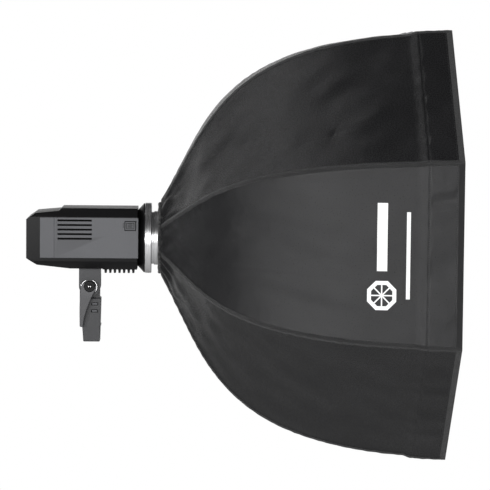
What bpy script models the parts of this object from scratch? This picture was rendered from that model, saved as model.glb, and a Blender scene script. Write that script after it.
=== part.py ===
"""Octagonal umbrella softbox locked on a monolight head, on the head's tilt bracket.

X runs along the light's axis towards the open front, Z is up, and the origin is the
middle of the mouth of the stand socket. Lengths are metres.
"""
import math

import bmesh
import bpy
from mathutils import Vector

# ---- softbox ----
RIB_COUNT = 8
RIB_STEPS = 20           # straight lengths that make up the curve of a rib
RIM_R = 0.4015           # corner radius at the front rim
DEPTH = 0.5006           # back edge of the fabric to the rim
BASE_SLOPE = math.radians(60.3)
RIM_SLOPE = math.radians(1.2)
LIP = 0.058              # band of fabric ahead of the front diffuser
LIP_FLARE = 0.004        # how far the band stands out from the panels
FABRIC = 0.0012
CUFF_R = 0.0603          # outside of the elastic cuff
ROD_R = 0.0025           # fibreglass rib
ROD_INSET = 0.0052       # rib centre line inside the fabric
BAFFLE_X = 0.300
BAFFLE_SHARE = 0.90      # baffle's corner radius as a share of the fabric's there

# ---- hub, shaft and stays ----
HUB_X = 0.0075
HUB_LENGTH = 0.0115
HUB_CLEARANCE = 0.0003   # hub inside the cuff
HUB_WALL = 0.0180
PIVOT_INSET = 0.0060     # rib hinges inside the hub's edge
PIN_R = 0.0015
PIN_PLAY = 0.00008
EYE_R = 0.0045
PLAY = 0.0004            # side play of a hinge
GAP = 0.0003             # joint line between fixed pieces
STAY_AT = 0.16           # where the stays join, along the rib's curve
STAY_INSET = 0.013       # stay hinge inside the fabric
STAY_WIDTH = 0.0060
STAY_THICK = 0.0026
RUNNER_X = 0.105
RUNNER_R = 0.020         # circle of the runner's fins at the stay ends
RUNNER_TRAVEL = 0.084
SHAFT_R = 0.0060
PLEAT_X = -0.0343        # where the line a half panel folds about crosses its rib's plane
PLEAT_R = 0.1650

# ---- monolight ----
AXIS_Z = 0.185           # light axis above the socket mouth
BACK_X = 0.1188           # back edge of the fabric ahead of the socket axis
HEAD_LENGTH = 0.1940     # rear face to the front flare
HEAD_WIDTH = 0.125
HEAD_TOP = 0.0546
HEAD_BOTTOM = 0.0522
RING_R = 0.0626
RING_LENGTH = 0.0117
COLLAR_STEP = 0.0123     # collar inside the cuff
COLLAR_LENGTH = 0.0155
PANEL_LENGTH = 0.1722
PANEL_HEIGHT = 0.0710
PANEL_RISE = 0.0035      # side panels above the light axis
VENT_COUNT = 5
VENT_PITCH = 0.0080
TOOTH_COUNT = 7
TOOTH_PITCH = 0.0082

# ---- tilt bracket ----
TILT_DROP = 0.0856       # tilt axis below the light axis
TILT_X = -0.0036         # tilt axis from the socket axis
FORK_HALF = 0.0180
TONGUE_HALF = 0.0100
SOCKET_R = 0.0082
SOCKET_DEPTH = 0.050

HALF_STEP = math.pi / RIB_COUNT
FLAT = math.cos(HALF_STEP)
SIDE = math.sin(HALF_STEP)
BASE_R = (CUFF_R + FABRIC) / FLAT
HUB_R = CUFF_R - HUB_CLEARANCE
HUB_BORE_R = HUB_R - HUB_WALL
PIVOT_R = HUB_R - PIVOT_INSET
COLLAR_R = CUFF_R - COLLAR_STEP
PANEL_RIM_R = RIM_R - LIP_FLARE
COLLAR_FRONT = 0.0027
COLLAR_BACK = COLLAR_FRONT - COLLAR_LENGTH
RING_BACK_X = COLLAR_BACK - GAP - RING_LENGTH
HEAD_FRONT_X = RING_BACK_X - GAP
HEAD_REAR_X = HEAD_FRONT_X - 0.0135 - HEAD_LENGTH
PIVOT_X = HUB_X + 0.48 * HUB_LENGTH
TILT_Z = AXIS_Z - TILT_DROP

for old in list(bpy.data.objects):
    bpy.data.objects.remove(old, do_unlink=True)
softbox = bpy.data.collections.new("octabox")
cutters = bpy.data.collections.new("cutters")
bpy.context.scene.collection.children.link(softbox)
bpy.context.scene.collection.children.link(cutters)


# ---- materials ----
def material(name, colour, roughness, metallic=0.0):
    made = bpy.data.materials.new(name)
    made.use_nodes = True
    shader = made.node_tree.nodes["Principled BSDF"]
    shader.inputs["Base Color"].default_value = (*colour, 1.0)
    shader.inputs["Roughness"].default_value = roughness
    shader.inputs["Metallic"].default_value = metallic
    return made


BLACK_NYLON = material("black_nylon", (0.018, 0.018, 0.020), 0.42)
WHITE_CLOTH = material("white_cloth", (0.85, 0.85, 0.83), 0.85)
BLACK_PLASTIC = material("black_plastic", (0.012, 0.012, 0.012), 0.45)
GREY_PLASTIC = material("grey_plastic", (0.16, 0.16, 0.17), 0.50)
DARK_PLASTIC = material("dark_plastic", (0.05, 0.05, 0.053), 0.48)
SILVER = material("silver_ring", (0.75, 0.75, 0.76), 0.30, 1.0)
STEEL = material("steel", (0.60, 0.60, 0.60), 0.35, 1.0)
FIBRE = material("fibreglass", (0.03, 0.03, 0.03), 0.40)
GLASS = material("lamp_glass", (0.90, 0.88, 0.80), 0.10)
SCREEN = material("screen", (0.02, 0.03, 0.04), 0.08)


# ---- shapes ----
def keep(obj, name, finish, where=softbox):
    """Name an object, give it its finish, and file it."""
    obj.name = name
    obj.data.name = name
    for user in list(obj.users_collection):
        user.objects.unlink(obj)
    where.objects.link(obj)
    if finish:
        obj.data.materials.clear()
        obj.data.materials.append(finish)
    return obj


def from_bmesh(bm, name="shape"):
    mesh = bpy.data.meshes.new(name)
    bm.to_mesh(mesh)
    bm.free()
    obj = bpy.data.objects.new(name, mesh)
    bpy.context.scene.collection.objects.link(obj)
    return obj


def box(low, high, bevel=0.0):
    """A block between two corners, in the coordinates of its own origin."""
    low, high = Vector(low), Vector(high)
    bm = bmesh.new()
    bmesh.ops.create_cube(bm, size=1.0)
    for v in bm.verts:
        v.co = Vector(((v.co[i] + 0.5) * (high[i] - low[i]) + low[i] for i in range(3)))
    obj = from_bmesh(bm)
    if bevel:
        soften(obj, bevel)
    return obj


def soften(obj, width, segments=2):
    edge = obj.modifiers.new("edges", "BEVEL")
    edge.width = width
    edge.segments = segments
    edge.limit_method = "ANGLE"
    edge.angle_limit = math.radians(35)
    return obj


def disc(radius, low, high, sides=32, across=False):
    """A cylinder along its own Z, or along Y when it lies across."""
    bm = bmesh.new()
    bmesh.ops.create_cone(bm, cap_ends=True, segments=sides, radius1=radius, radius2=radius, depth=high - low)
    for v in bm.verts:
        v.co.z += (low + high) / 2
        if across:
            v.co = Vector((v.co.x, v.co.z, -v.co.y))
    return from_bmesh(bm)


def turned(profile, sides=48, closed=True):
    """Radius and height pairs, outer side first from top to bottom, turned about Z."""
    bm = bmesh.new()
    ring = [bm.verts.new((r, 0.0, h)) for r, h in profile]
    for a, b in zip(ring, ring[1:]):
        bm.edges.new((a, b))
    if closed:
        bm.edges.new((ring[-1], ring[0]))
    obj = from_bmesh(bm)
    screw = obj.modifiers.new("turn", "SCREW")
    screw.angle = 2 * math.pi
    screw.steps = sides
    screw.render_steps = sides
    screw.use_merge_vertices = True
    screw.merge_threshold = 0.00001
    return obj


def mesh_of(curve):
    """The closed mesh of a curve, with its caps welded on."""
    bpy.context.view_layer.update()
    graph = bpy.context.evaluated_depsgraph_get()
    mesh = bpy.data.meshes.new_from_object(curve.evaluated_get(graph))
    bm = bmesh.new()
    bm.from_mesh(mesh)
    bmesh.ops.remove_doubles(bm, verts=bm.verts, dist=0.00001)
    bmesh.ops.recalc_face_normals(bm, faces=bm.faces)
    bm.to_mesh(mesh)
    bm.free()
    obj = bpy.data.objects.new("shape", mesh)
    obj.matrix_world = curve.matrix_world.copy()
    bpy.context.scene.collection.objects.link(obj)
    bpy.data.objects.remove(curve, do_unlink=True)
    return obj


def tube(points, radius):
    """A round wire along points."""
    data = bpy.data.curves.new("wire", "CURVE")
    data.dimensions = "3D"
    data.bevel_depth = radius
    data.bevel_resolution = 2
    data.use_fill_caps = True
    spline = data.splines.new("POLY")
    spline.points.add(len(points) - 1)
    for p, co in zip(spline.points, points):
        p.co = (*co, 1.0)
    obj = bpy.data.objects.new("wire", data)
    bpy.context.scene.collection.objects.link(obj)
    return mesh_of(obj)


def plate(outline, low, high, holes=()):
    """A flat outline of X and Z pairs, filled and made solid from low to high along Y."""
    data = bpy.data.curves.new("outline", "CURVE")
    data.dimensions = "2D"
    data.fill_mode = "BOTH"
    data.extrude = (high - low) / 2
    for loop in (outline, *holes):
        spline = data.splines.new("POLY")
        spline.points.add(len(loop) - 1)
        for p, (x, z) in zip(spline.points, loop):
            p.co = (x, z, 0.0, 1.0)
        spline.use_cyclic_u = True
    obj = bpy.data.objects.new("outline", data)
    bpy.context.scene.collection.objects.link(obj)
    made = mesh_of(obj)
    for v in made.data.vertices:
        x, z, y = v.co
        v.co = (x, (low + high) / 2 - y, z)
    return made


def circle(radius, x=0.0, z=0.0, sides=16, start=0.0, end=2 * math.pi):
    """Points of a circle, or of an arc when start and end are given."""
    whole = abs(end - start - 2 * math.pi) < 1e-9
    steps = sides if whole else sides - 1
    return [
        (x + radius * math.cos(start + (end - start) * i / steps),
         z + radius * math.sin(start + (end - start) * i / steps))
        for i in range(sides)
    ]


def combine(obj, others, operation):
    """Union with, or cut by, each of the others, which go to the cutters."""
    for other in others:
        keep(other, "cutter", None, cutters)
        other.hide_render = True
        other.display_type = "WIRE"
        change = obj.modifiers.new(operation.lower(), "BOOLEAN")
        change.operation = operation
        change.solver = "EXACT"
        change.object = other
    return obj


def join(obj, *others):
    return combine(obj, others, "UNION")


def cut(obj, *others):
    return combine(obj, others, "DIFFERENCE")


def settle(obj):
    """Turn the modifiers of a repeated piece into its mesh, so that it can be copied."""
    bpy.context.view_layer.update()
    graph = bpy.context.evaluated_depsgraph_get()
    mesh = bpy.data.meshes.new_from_object(obj.evaluated_get(graph))
    used = [m.object for m in obj.modifiers if m.type == "BOOLEAN"]
    obj.modifiers.clear()
    obj.data = mesh
    for other in used:
        bpy.data.objects.remove(other, do_unlink=True)
    return obj


def copy_of(obj):
    made = bpy.data.objects.new("copy", obj.data.copy())
    bpy.context.scene.collection.objects.link(made)
    return made


def smooth(obj, angle=35):
    for face in obj.data.polygons:
        face.use_smooth = True
    obj.data.set_sharp_from_angle(angle=math.radians(angle))
    return obj


def along_x(obj, x=0.0):
    """Lay a turned piece along the light's axis, its own zero at x from the fabric's back edge."""
    obj.rotation_euler = (0.0, math.pi / 2, 0.0)
    obj.location = (BACK_X + x, 0.0, AXIS_Z)
    return obj


def along_y(obj, x, y, z):
    obj.rotation_euler = (-math.pi / 2, 0.0, 0.0)
    obj.location = (x, y, z)
    return obj


def at_axis(obj, x=0.0, turn=0.0):
    """Place a piece on the light's axis, turned about it."""
    obj.location = (BACK_X + x, 0.0, AXIS_Z)
    obj.rotation_euler = (-turn, 0.0, 0.0)
    return obj


# ---- the curve of a rib ----
def fabric_point(t):
    """Axial place and corner radius of the fabric, t from 0 at the back edge to 1 at the rim."""
    start = Vector((0.0023, BASE_R))
    end = Vector((DEPTH, PANEL_RIM_R))
    first = start + 0.343 * DEPTH * Vector((math.cos(BASE_SLOPE), math.sin(BASE_SLOPE)))
    last = end - 0.817 * DEPTH * Vector((math.cos(RIM_SLOPE), math.sin(RIM_SLOPE)))
    s = 1 - t
    p = s ** 3 * start + 3 * s * s * t * first + 3 * s * t * t * last + t ** 3 * end
    rise = min(max((p.x - (DEPTH - LIP)) / (0.3 * LIP) + 1, 0.0), 1.0)
    return Vector((p.x, p.y + LIP_FLARE * rise * rise * (3 - 2 * rise)))


def inside(t, inset):
    """The same point moved square to the fabric, towards the inside."""
    step = 0.001
    way = (fabric_point(min(t + step, 1.0)) - fabric_point(max(t - step, 0.0))).normalized()
    return fabric_point(t) + inset * Vector((way.y, -way.x))


def at_depth(x):
    """t where the fabric is x from its back edge."""
    low, high = 0.0, 1.0
    for _ in range(40):
        middle = (low + high) / 2
        if fabric_point(middle).x < x:
            low = middle
        else:
            high = middle
    return low


def rib_angle(k):
    return HALF_STEP + 2 * HALF_STEP * k


def on_rib_circle(obj, k, x, radius):
    """Place a piece drawn in a rib's own plane, X along the axis and Z outwards."""
    angle = rib_angle(k)
    obj.location = (BACK_X + x, radius * math.sin(angle), AXIS_Z + radius * math.cos(angle))
    obj.rotation_euler = (-angle, 0.0, 0.0)
    return obj


PIVOT = Vector((PIVOT_X, PIVOT_R))
STAY_OUTER = inside(STAY_AT, STAY_INSET)
STAY_INNER = Vector((RUNNER_X, RUNNER_R))


# ---- ribs ----
def rib():
    half = ROD_R
    path = [inside(t / RIB_STEPS, ROD_INSET) for t in range(2, RIB_STEPS + 1)]
    path[-1] = inside(1.0, ROD_INSET) - Vector((0.002, 0.0))
    root = (path[0] - PIVOT).normalized() * (PIN_R + 0.0018)
    points = [(root.x, 0.0, root.y)] + [(p.x - PIVOT.x, 0.0, p.y - PIVOT.y) for p in path]
    rod = tube(points, ROD_R)
    centre = STAY_OUTER - PIVOT
    foot = inside(STAY_AT, ROD_INSET) - PIVOT
    way = (foot - centre).normalized()
    side = Vector((way.y, -way.x)) * (EYE_R * 0.8)
    web = [centre - side, foot - side, foot + side, centre + side]
    eye = disc(EYE_R, -half, half, 16, across=True)
    lug = disc(EYE_R, -half, 0.0, 16, across=True)
    lug.location = (centre.x, 0.0, centre.y)
    hinge_bore = disc(PIN_R + PIN_PLAY, -0.01, 0.01, 16, across=True)
    stay_bore = disc(PIN_R + PIN_PLAY, -0.01, 0.01, 16, across=True)
    stay_bore.location = (centre.x, 0.0, centre.y)
    join(rod, eye, lug, plate([tuple(p) for p in web], -half, 0.0))
    cut(rod, hinge_bore, stay_bore)
    return settle(rod)


first_rib = rib()
for k in range(RIB_COUNT):
    piece = on_rib_circle(copy_of(first_rib), k, PIVOT.x, PIVOT.y)
    smooth(keep(piece, f"rib_{k + 1}", FIBRE))
bpy.data.objects.remove(first_rib, do_unlink=True)


# ---- stays between the ribs and the runner ----
def stay():
    reach = STAY_INNER - STAY_OUTER
    tilt = math.atan2(reach.y, reach.x)
    half = STAY_WIDTH / 2
    quarter = math.pi / 2
    near = circle(half, 0.0, 0.0, 8, tilt + quarter, tilt + 3 * quarter)
    far = circle(half, reach.x, reach.y, 8, tilt - quarter, tilt + quarter)
    bore = circle(PIN_R, reach.x, reach.y, 12)
    low = GAP
    bar = plate(near + far, low, low + STAY_THICK, holes=[bore])
    pin = disc(PIN_R, -ROD_R + GAP, low + 0.5 * STAY_THICK, 16, across=True)
    return settle(join(bar, pin))


first_stay = stay()
for k in range(RIB_COUNT):
    piece = on_rib_circle(copy_of(first_stay), k, STAY_OUTER.x, STAY_OUTER.y)
    smooth(keep(piece, f"stay_{k + 1}", STEEL))
bpy.data.objects.remove(first_stay, do_unlink=True)


# ---- fabric: two half panels on each rib ----
def half_panel(way):
    """Half of a flat panel, from its rib to its middle, in the rib's own plane."""
    bm = bmesh.new()
    rows = []
    steps = RIB_STEPS
    ahead = Vector((0.0, way * FLAT, -SIDE))
    origin = Vector((PLEAT_X, 0.0, PLEAT_R))
    for i in range(steps + 1):
        p = fabric_point(i / steps)
        corner = Vector((p.x, 0.0, p.y))
        rows.append([
            bm.verts.new(corner + ahead * (0.65 * FABRIC + GAP / 2) - origin),
            bm.verts.new(corner + ahead * (p.y * SIDE - GAP) - origin),
        ])
    for a, b in zip(rows, rows[1:]):
        loop = (a[0], a[1], b[1], b[0])
        bm.faces.new(loop if way < 0 else loop[::-1])
    obj = from_bmesh(bm)
    shell = obj.modifiers.new("cloth", "SOLIDIFY")
    shell.thickness = FABRIC
    shell.offset = -1.0
    return obj, origin


for k in range(RIB_COUNT):
    for way, tag in ((-1, "a"), (1, "b")):
        piece, origin = half_panel(way)
        angle = rib_angle(k)
        piece.rotation_euler = (-angle, 0.0, 0.0)
        piece.location = (
            BACK_X + origin.x,
            origin.y * math.cos(angle) + origin.z * math.sin(angle),
            AXIS_Z - origin.y * math.sin(angle) + origin.z * math.cos(angle),
        )
        smooth(keep(piece, f"panel_{k + 1}{tag}", BLACK_NYLON), 60)


def sheet(radius, x, thick):
    """A flat eight-cornered cloth across the light's axis, its corners on the ribs."""
    cloth = disc(radius, -thick / 2, thick / 2, RIB_COUNT)
    for v in cloth.data.vertices:
        turn = math.atan2(v.co.y, v.co.x) + HALF_STEP
        v.co = (-v.co.z, radius * math.sin(turn), radius * math.cos(turn))
    return at_axis(cloth, x)


rib_r = inside(at_depth(DEPTH - LIP), ROD_INSET).y
keep(sheet(rib_r - ROD_R - 0.0015, DEPTH - LIP, 0.0008), "front_diffuser", WHITE_CLOTH)

baffle_r = fabric_point(at_depth(BAFFLE_X)).y * BAFFLE_SHARE
strap_end = inside(at_depth(BAFFLE_X), ROD_INSET).y - ROD_R - 0.0015
baffle = sheet(baffle_r, BAFFLE_X, 0.0008)
straps = []
for k in range(RIB_COUNT):
    strap = box((-0.0003, -0.0125, baffle_r - 0.020), (0.0003, 0.0125, strap_end))
    straps.append(at_axis(strap, BAFFLE_X, rib_angle(k)))
keep(join(baffle, *straps), "inner_baffle", WHITE_CLOTH)

cuff = turned([(CUFF_R - 0.0009, 0.0055), (CUFF_R, 0.0046), (CUFF_R, -0.0010), (CUFF_R - 0.0009, -0.0018),
               (CUFF_R - 0.0026, -0.0018), (CUFF_R - 0.0026, 0.0055)])
smooth(keep(along_x(cuff), "rear_cuff", BLACK_NYLON))


# ---- speed ring, rib hub, shaft and runner ----
SPIGOT_R = COLLAR_R - 0.0050
FLANGE_R = CUFF_R - 0.0032
ring_profile = [
    (FLANGE_R, HUB_X - GAP), (FLANGE_R, COLLAR_FRONT), (COLLAR_R, COLLAR_FRONT - 0.0004),
    (COLLAR_R, COLLAR_BACK + 0.0045), (COLLAR_R - 0.0015, COLLAR_BACK + 0.0040), (COLLAR_R - 0.0015, COLLAR_BACK),
    (SPIGOT_R, COLLAR_BACK), (SPIGOT_R, COLLAR_BACK - 0.0105),
    (SPIGOT_R - 0.0025, COLLAR_BACK - 0.0105), (SPIGOT_R - 0.0025, HUB_X - GAP),
]
speed_ring = along_x(turned(ring_profile))
tabs = []
for n in range(3):
    tab = box((COLLAR_BACK - 0.0102, -0.010, SPIGOT_R - 0.002), (COLLAR_BACK - 0.0060, 0.010, SPIGOT_R + 0.0012))
    tabs.append(at_axis(tab, 0.0, 2 * math.pi * n / 3))
smooth(keep(join(speed_ring, *tabs), "speed_ring", SILVER))

hub = along_x(turned([
    (HUB_R, HUB_X + HUB_LENGTH), (HUB_R, HUB_X), (HUB_BORE_R, HUB_X), (HUB_BORE_R, HUB_X + HUB_LENGTH),
]))
slots = []
pins = []
for k in range(RIB_COUNT):
    slot_half = ROD_R + PLAY
    slot = box((HUB_X - 0.01, -slot_half, PIVOT_R - EYE_R - 0.0015), (HUB_X + HUB_LENGTH + 0.01, slot_half, HUB_R + 0.01))
    slots.append(at_axis(slot, 0.0, rib_angle(k)))
    pin = disc(PIN_R, -slot_half - 0.0025, slot_half + 0.0025, 16, across=True)
    pins.append(on_rib_circle(pin, k, PIVOT.x, PIVOT.y))
cut(hub, *slots)
smooth(keep(join(hub, *pins), "rib_hub", BLACK_PLASTIC))

BRIDGE_X = HUB_X + HUB_LENGTH + GAP
BOSS_X = BRIDGE_X + 0.043
BOSS_R = 0.0110
BOSS_LENGTH = 0.016
bridge = along_x(turned([
    (HUB_BORE_R + 0.0055, BRIDGE_X + 0.0040), (HUB_BORE_R + 0.0055, BRIDGE_X),
    (HUB_BORE_R + 0.0005, BRIDGE_X), (HUB_BORE_R + 0.0005, BRIDGE_X + 0.0040),
], 48))
boss = along_x(turned([
    (BOSS_R, BOSS_X + BOSS_LENGTH), (BOSS_R, BOSS_X),
    (SHAFT_R + GAP, BOSS_X), (SHAFT_R + GAP, BOSS_X + BOSS_LENGTH),
], 32))
legs = []
for n in range(4):
    foot_r = HUB_BORE_R + 0.0028
    leg = tube([(BRIDGE_X + 0.002, 0.0, foot_r), (BRIDGE_X + 0.014, 0.0, foot_r - 0.001),
                (BOSS_X + 0.005, 0.0, BOSS_R + 0.004), (BOSS_X + 0.008, 0.0, BOSS_R - 0.002)], 0.0028)
    legs.append(at_axis(leg, 0.0, math.pi / 2 * n))
smooth(keep(join(bridge, *legs, boss), "shaft_bridge", BLACK_PLASTIC))

SHAFT_END = RUNNER_X + RUNNER_TRAVEL + 0.028
shaft = turned([
    (0.0, SHAFT_END), (SHAFT_R * 0.75, SHAFT_END), (SHAFT_R, SHAFT_END - 0.002),
    (SHAFT_R, BOSS_X + 0.0015), (0.0, BOSS_X + 0.0015),
], 32, closed=False)
smooth(keep(along_x(shaft), "umbrella_shaft", STEEL))

RUNNER_BODY_R = 0.0120
runner = along_x(turned([
    (RUNNER_BODY_R - 0.001, 0.013), (RUNNER_BODY_R, 0.012), (RUNNER_BODY_R, -0.010), (RUNNER_BODY_R - 0.001, -0.011),
    (SHAFT_R + GAP, -0.011), (SHAFT_R + GAP, 0.013),
], 32), RUNNER_X)
fins = []
for k in range(RIB_COUNT):
    fin = box((-0.008, -0.0028, SHAFT_R + 0.0033), (0.008, -0.0002, RUNNER_R + 0.0040))
    fins.append(at_axis(fin, RUNNER_X, rib_angle(k)))
smooth(keep(join(runner, *fins), "runner", DARK_PLASTIC))


# ---- monolight head ----
REAR = BACK_X + HEAD_REAR_X
FRONT = BACK_X + HEAD_FRONT_X - 0.0125
TOP = AXIS_Z + HEAD_TOP
BOTTOM = AXIS_Z - HEAD_BOTTOM
side_view = [
    (REAR, AXIS_Z + 0.0355), (REAR + 0.0150, TOP - 0.0085), (REAR + 0.0565, TOP - 0.0045), (REAR + 0.0610, TOP),
    (FRONT, TOP), (FRONT, BOTTOM), (REAR + 0.0766, BOTTOM), (REAR + 0.0183, BOTTOM + 0.0070), (REAR, AXIS_Z - 0.0330),
]
half_w = HEAD_WIDTH / 2
head = plate(side_view, -half_w - 0.01, half_w + 0.01)
SHOULDER = 0.0165
shoulder_z = PANEL_HEIGHT / 2 + PANEL_RISE + 0.0012
shoulder_low = PANEL_HEIGHT / 2 - PANEL_RISE + 0.0062
PAST = 1.25               # the shoulders are drawn on past the top and bottom
high = AXIS_Z + shoulder_z + (HEAD_TOP - shoulder_z) * PAST
low = AXIS_Z - shoulder_low - (HEAD_BOTTOM - shoulder_low) * PAST
narrow = half_w - SHOULDER * PAST
front_view = [
    (-half_w, AXIS_Z - shoulder_low), (-narrow, low), (narrow, low), (half_w, AXIS_Z - shoulder_low),
    (half_w, AXIS_Z + shoulder_z), (narrow, high), (-narrow, high), (-half_w, AXIS_Z + shoulder_z),
]
section = plate(front_view, -0.15, 0.15)
section.rotation_euler = (0.0, 0.0, math.pi / 2)
section.location = ((REAR + FRONT) / 2, 0.0, 0.0)
combine(head, [section], "INTERSECT")
flare = along_x(turned([
    (0.0, HEAD_FRONT_X), (RING_R - 0.0008, HEAD_FRONT_X), (RING_R - 0.0008, HEAD_FRONT_X - 0.0015),
    (HEAD_BOTTOM - 0.0031, HEAD_FRONT_X - 0.0130), (HEAD_BOTTOM - 0.0031, HEAD_FRONT_X - 0.0300), (0.0, HEAD_FRONT_X - 0.0300),
], 48, closed=False))
join(head, flare)
LAMP_BORE_R = 0.0400
REAR_RECESS = 0.0110     # rear panel's face inside the rear edge of the shell
REAR_THICK = 0.0040
REAR_HALF = 0.0440
REAR_LOW, REAR_HIGH = AXIS_Z - 0.0275, AXIS_Z + 0.0320
recess = box((REAR - 0.01, -REAR_HALF - GAP, REAR_LOW - GAP),
             (REAR + REAR_RECESS + REAR_THICK + GAP, REAR_HALF + GAP, REAR_HIGH + GAP))
cut(head, along_x(disc(LAMP_BORE_R, HEAD_FRONT_X - 0.0220, HEAD_FRONT_X + 0.01, 48)), recess)
smooth(keep(head, "head_shell", BLACK_PLASTIC), 30)

ring = turned([
    (RING_R - 0.0008, RING_BACK_X + RING_LENGTH), (RING_R, RING_BACK_X + RING_LENGTH - 0.0008),
    (RING_R, RING_BACK_X + 0.0008), (RING_R - 0.0008, RING_BACK_X),
    (SPIGOT_R + 0.0030, RING_BACK_X), (SPIGOT_R + 0.0030, RING_BACK_X + RING_LENGTH),
])
smooth(keep(along_x(ring), "front_ring", SILVER))

socket_disc = turned([
    (0.0, HEAD_FRONT_X - 0.0140), (0.036, HEAD_FRONT_X - 0.0140), (0.036, HEAD_FRONT_X - 0.0215), (0.0, HEAD_FRONT_X - 0.0215),
], 48, closed=False)
smooth(keep(along_x(socket_disc), "tube_socket", WHITE_CLOTH))

LAMP_BACK = HEAD_FRONT_X - 0.0140 + GAP
lamp = turned([
    (0.0, 0.036), (0.0045, 0.035), (0.0085, 0.031), (0.0100, 0.025), (0.0100, 0.006), (0.0070, 0.000),
    (0.0070, LAMP_BACK), (0.0, LAMP_BACK),
], 32, closed=False)
smooth(keep(along_x(lamp), "modelling_lamp", GLASS))

TUBE_R = 0.0250
TUBE_X = 0.0120
arc = math.radians(160)
loop = [(TUBE_X, TUBE_R * math.sin(a), TUBE_R * math.cos(a)) for a in (-arc + 2 * arc * i / 28 for i in range(29))]
loop.insert(0, (LAMP_BACK, loop[0][1], loop[0][2]))
loop.append((LAMP_BACK, loop[-1][1], loop[-1][2]))
smooth(keep(at_axis(tube(loop, 0.0040)), "flash_tube", GLASS))

# ---- side panels ----
PANEL_X = BACK_X + HEAD_FRONT_X - 0.0110 - PANEL_LENGTH
PANEL_Z = AXIS_Z + PANEL_RISE
PANEL_THICK = 0.0020
for way, tag in ((-1, "near"), (1, "far")):
    inner = way * (half_w + GAP)
    outer = way * (half_w + GAP + PANEL_THICK)
    low_y, high_y = sorted((inner, outer))
    panel = box((PANEL_X, low_y, PANEL_Z - PANEL_HEIGHT / 2), (PANEL_X + PANEL_LENGTH, high_y, PANEL_Z + PANEL_HEIGHT / 2))
    openings = []
    for n in range(VENT_COUNT):
        z = PANEL_Z + PANEL_HEIGHT / 2 - 0.0050 - VENT_PITCH * n
        openings.append(box((PANEL_X + 0.0308, low_y - 0.005, z - 0.0016), (PANEL_X + 0.0908, high_y + 0.005, z + 0.0016)))
    groove_low, groove_high = sorted((outer - way * 0.0007, outer + way * 0.005))
    openings.append(box((PANEL_X + 0.0246, groove_low, AXIS_Z - 0.1), (PANEL_X + 0.0252, groove_high, AXIS_Z + 0.1)))
    rim_low, rim_high = sorted((outer - way * 0.0005, outer + way * 0.0008))
    label_top = PANEL_Z + PANEL_HEIGHT / 2 - 0.0054
    label = box((PANEL_X + PANEL_LENGTH - 0.0240, rim_low, label_top - 0.0170), (PANEL_X + PANEL_LENGTH - 0.0040, rim_high, label_top))
    keep(join(cut(panel, *openings), label), f"side_panel_{tag}", GREY_PLASTIC)

# ---- rear panel, window, dial and keys ----
rear_face = REAR + REAR_RECESS
rear = box((rear_face, -REAR_HALF, REAR_LOW), (rear_face + REAR_THICK, REAR_HALF, REAR_HIGH))
DIAL_Z = AXIS_Z - 0.0040
KEY_R = 0.0045
key_places = [(y, AXIS_Z - 0.0210) for y in (-0.026, 0.0, 0.026)]
key_wells = []
for y, z in key_places:
    well = disc(KEY_R + PLAY, -0.010, 0.0025, 24)
    well.rotation_euler = (0.0, math.pi / 2, 0.0)
    well.location = (rear_face, y, z)
    key_wells.append(well)
keep(cut(rear, *key_wells), "rear_panel", DARK_PLASTIC)
keep(box((rear_face - GAP - 0.0012, -0.032, AXIS_Z + 0.0100), (rear_face - GAP, 0.032, AXIS_Z + 0.0300), 0.0004),
     "display_window", SCREEN)
for n, (y, z) in enumerate(key_places):
    key = turned([(0.0, 0.0006), (KEY_R - 0.0003, 0.0006), (KEY_R, 0.0003), (KEY_R, -0.0022),
                  (KEY_R - 0.0006, -0.0028), (0.0, -0.0028)], 24, closed=False)
    key.rotation_euler = (0.0, math.pi / 2, 0.0)
    key.location = (rear_face, y, z)
    smooth(keep(key, f"key_{n + 1}", GREY_PLASTIC))
dial = turned([(0.0, -GAP), (0.0110, -GAP), (0.0115, -0.0080), (0.0103, -0.0092), (0.0, -0.0092)], 40, closed=False)
dial.rotation_euler = (0.0, math.pi / 2, 0.0)
dial.location = (rear_face, 0.0, DIAL_Z)
pointer = box((rear_face - 0.0098, -0.0006, DIAL_Z + 0.0040), (rear_face - 0.0085, 0.0006, DIAL_Z + 0.0100))
smooth(keep(join(dial, pointer), "control_dial", BLACK_PLASTIC))

# ---- toothed rail under the head ----
RAIL_X = BACK_X + HEAD_FRONT_X - 0.0750
rail = box((RAIL_X, -0.011, BOTTOM - GAP - 0.0040), (RAIL_X + TOOTH_COUNT * TOOTH_PITCH + 0.004, 0.011, BOTTOM - GAP))
teeth = []
for n in range(TOOTH_COUNT):
    x = RAIL_X + 0.003 + TOOTH_PITCH * n
    outline = [(x, BOTTOM - 0.0038), (x + 0.0008, BOTTOM - 0.0106), (x + 0.0044, BOTTOM - 0.0106), (x + 0.0052, BOTTOM - 0.0038)]
    teeth.append(plate(outline, -0.009, 0.009))
keep(join(rail, *teeth), "toothed_rail", BLACK_PLASTIC)

# ---- bayonet release slide, on the far side of the head ----
release_x = BACK_X + HEAD_FRONT_X - 0.0340
shoulder_rise = HEAD_TOP - shoulder_z
release = box((-0.008, -0.0045, GAP), (0.008, 0.0045, GAP + 0.0035), 0.0008)
release.location = (release_x, half_w - SHOULDER / 2, AXIS_Z + shoulder_z + shoulder_rise / 2)
release.rotation_euler = (-math.atan2(shoulder_rise, SHOULDER), 0.0, 0.0)
keep(release, "bayonet_release", DARK_PLASTIC)

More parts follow.
